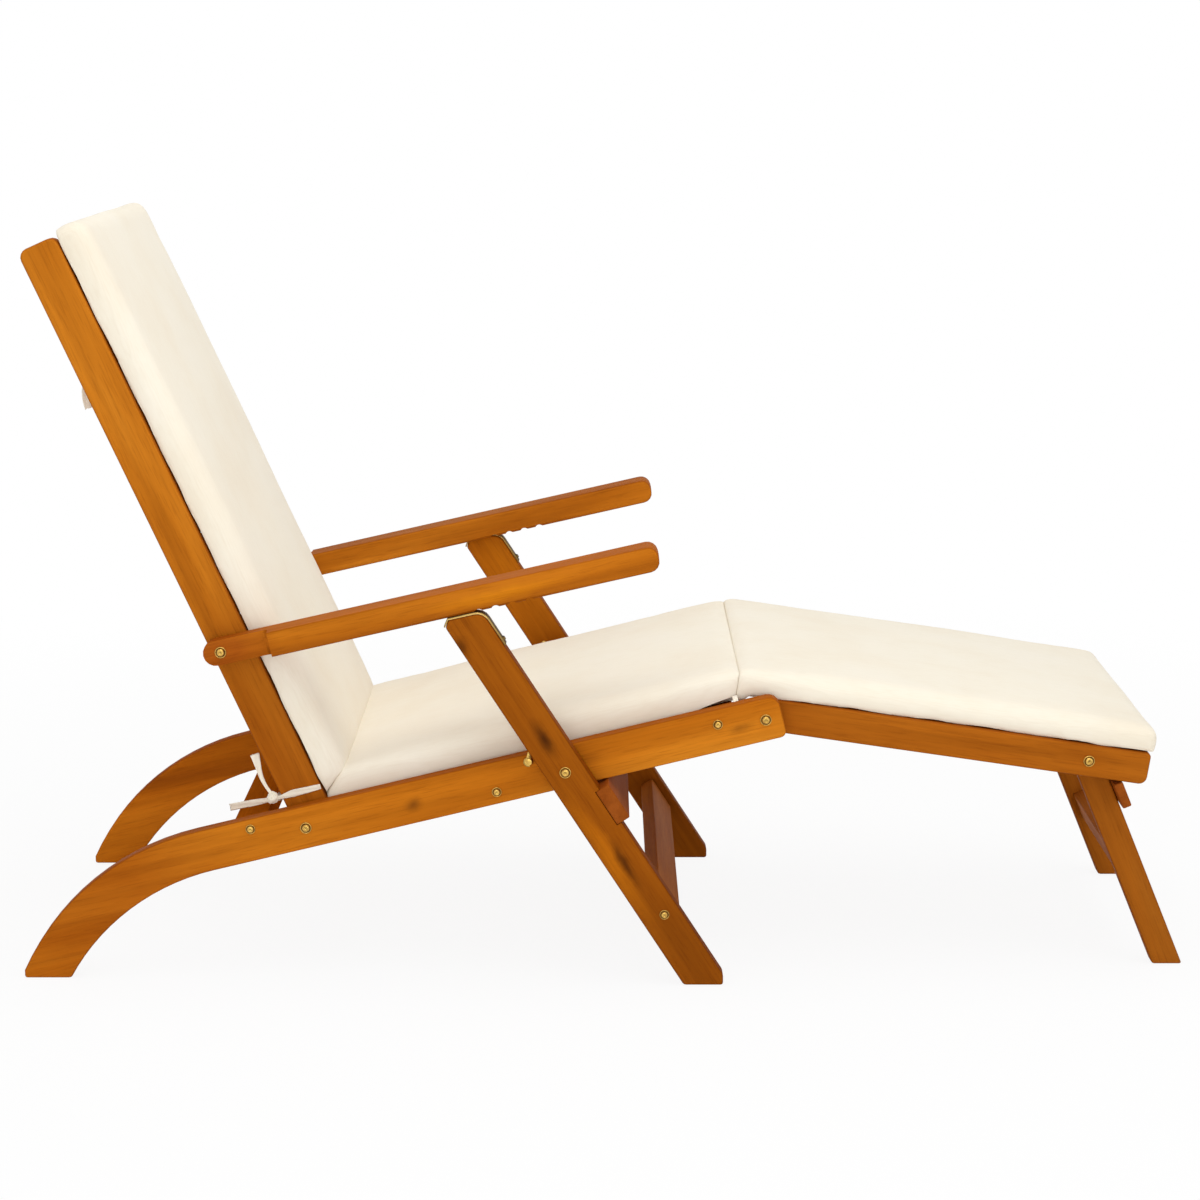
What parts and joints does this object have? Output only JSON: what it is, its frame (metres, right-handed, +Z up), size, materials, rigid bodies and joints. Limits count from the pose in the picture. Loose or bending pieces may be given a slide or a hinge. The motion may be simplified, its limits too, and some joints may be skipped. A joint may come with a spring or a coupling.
{
  "type": "sun lounger",
  "caption": "Folding slatted hardwood lounger with reclining back, armrests, hinged leg section and a padded cushion in hinged sections.",
  "frame": {"origin": "on the ground, in the middle of the length and of the width", "axes": "+X from the back towards the footrest, +Y to the left of someone lying on it, +Z up"},
  "size_m": [1.5057, 0.6086, 0.9661],
  "materials": {
    "acacia": "oiled",
    "acacia_dark": "oiled",
    "brass": "polished",
    "nylon": "matte",
    "cream_fabric": "woven"
  },
  "bodies": {
    "seat_frame": {"seat_rail_left": "acacia", "seat_rail_right": "acacia", "rear_crossbar": "acacia_dark", "middle_crossbar": "acacia_dark", "front_crossbar": "acacia_dark", "seat_slat_1": "acacia", "seat_slat_2": "acacia", "seat_slat_3": "acacia", "seat_slat_4": "acacia", "rear_tie_rod": "brass", "middle_tie_rod": "brass", "front_tie_rod": "brass", "hook_stud_left": "brass", "hook_stud_right": "brass", "footrest_bolt_left": "brass", "footrest_bolt_right": "brass", "seat_cushion": "cream_fabric"},
    "back_pivot_rod": {"back_pivot_rod": "brass"},
    "backrest": {"back_stile_left": "acacia", "back_stile_right": "acacia", "back_bottom_rail": "acacia", "back_slat_1": "acacia", "back_slat_2": "acacia", "back_slat_3": "acacia", "back_slat_4": "acacia", "back_slat_5": "acacia", "back_top_rail": "acacia", "back_cushion": "cream_fabric", "cushion_tie_left": "cream_fabric", "cushion_tie_right": "cream_fabric"},
    "front_legs": {"front_leg_left": "acacia", "front_leg_right": "acacia", "front_leg_crossbar": "acacia_dark", "stop_board": "acacia_dark", "head_strap_left": "brass", "head_strap_right": "brass", "front_leg_tie_rod": "brass", "front_leg_bolt_left": "brass", "front_leg_bolt_right": "brass"},
    "footrest": {"footrest_rail_left": "acacia", "footrest_rail_right": "acacia", "footrest_slat_1": "acacia", "footrest_slat_2": "acacia", "footrest_slat_3": "acacia", "footrest_end_slat": "acacia", "footrest_leg_bolt_left": "brass", "footrest_leg_bolt_right": "brass", "leg_cushion": "cream_fabric"},
    "footrest_legs": {"footrest_leg_left": "acacia", "footrest_leg_right": "acacia", "footrest_leg_crossbar": "acacia_dark", "footrest_stop": "acacia_dark"},
    "armrest_bolt_left": {"armrest_bolt_left": "brass"},
    "armrest_left": {"armrest_left": "acacia", "armrest_bush_left": "nylon"},
    "catch_hook_left": {"catch_hook_left": "brass"},
    "armrest_bolt_right": {"armrest_bolt_right": "brass"},
    "armrest_right": {"armrest_right": "acacia", "armrest_bush_right": "nylon"},
    "catch_hook_right": {"catch_hook_right": "brass"}
  },
  "joints": [
    {"name": "fold", "type": "hinge", "parent": "seat_frame", "child": "back_pivot_rod", "pos_m": [-0.38603, 0, 0.2012], "axis": [0, 1, 0], "range_deg": [0, 75], "deforming": ["back_cushion", "seat_cushion"]},
    {"name": "recline", "type": "hinge", "parent": "back_pivot_rod", "child": "backrest", "pos_m": [-0.38603, 0, 0.2012], "axis": [0, 1, 0], "range_deg": [-25, 0], "deforming": ["cushion_tie_left", "cushion_tie_right"]},
    {"name": "front_leg_fold", "type": "hinge", "parent": "seat_frame", "child": "front_legs", "pos_m": [-0.05401, 0, 0.28152], "axis": [0, 1, 0], "range_deg": [0, 78.75]},
    {"name": "armrest_level_left", "type": "hinge", "parent": "backrest", "child": "armrest_bolt_left", "pos_m": [-0.48913, 0, 0.4306], "axis": [0, 1, 0], "range_deg": [0, 18.75]},
    {"name": "armrest_fold_left", "type": "hinge", "parent": "armrest_bolt_left", "child": "armrest_left", "pos_m": [-0.48913, 0, 0.4306], "axis": [0, 1, 0], "range_deg": [-90, 0]},
    {"name": "catch_hook_left_swing", "type": "hinge", "parent": "front_legs", "child": "catch_hook_left", "pos_m": [-0.09211, 0, 0.32598], "axis": [0, 1, 0], "range_deg": [0, 120]},
    {"name": "armrest_level_right", "type": "hinge", "parent": "backrest", "child": "armrest_bolt_right", "pos_m": [-0.48913, 0, 0.4306], "axis": [0, 1, 0], "range_deg": [0, 18.75]},
    {"name": "armrest_fold_right", "type": "hinge", "parent": "armrest_bolt_right", "child": "armrest_right", "pos_m": [-0.48913, 0, 0.4306], "axis": [0, 1, 0], "range_deg": [-90, 0]},
    {"name": "catch_hook_right_swing", "type": "hinge", "parent": "front_legs", "child": "catch_hook_right", "pos_m": [-0.09211, 0, 0.32598], "axis": [0, 1, 0], "range_deg": [0, 120]},
    {"name": "footrest_tilt", "type": "hinge", "parent": "seat_frame", "child": "footrest", "pos_m": [0.20035, 0, 0.34306], "axis": [0, 1, 0], "range_deg": [-22, 85], "deforming": ["leg_cushion"]},
    {"name": "footrest_leg_fold", "type": "hinge", "parent": "footrest", "child": "footrest_legs", "pos_m": [0.61718, 0, 0.28188], "axis": [0, 1, 0], "range_deg": [0, 100]}
  ],
  "couplings": [
    {"joint": "front_leg_fold", "follows": "fold", "ratio": 1.05},
    {"joint": "armrest_fold_left", "follows": "fold", "ratio": -1.2},
    {"joint": "armrest_level_left", "follows": "recline", "ratio": -0.74},
    {"joint": "catch_hook_left_swing", "follows": "fold", "ratio": 1.6},
    {"joint": "armrest_fold_right", "follows": "fold", "ratio": -1.2},
    {"joint": "armrest_level_right", "follows": "recline", "ratio": -0.74},
    {"joint": "catch_hook_right_swing", "follows": "fold", "ratio": 1.6}
  ]
}
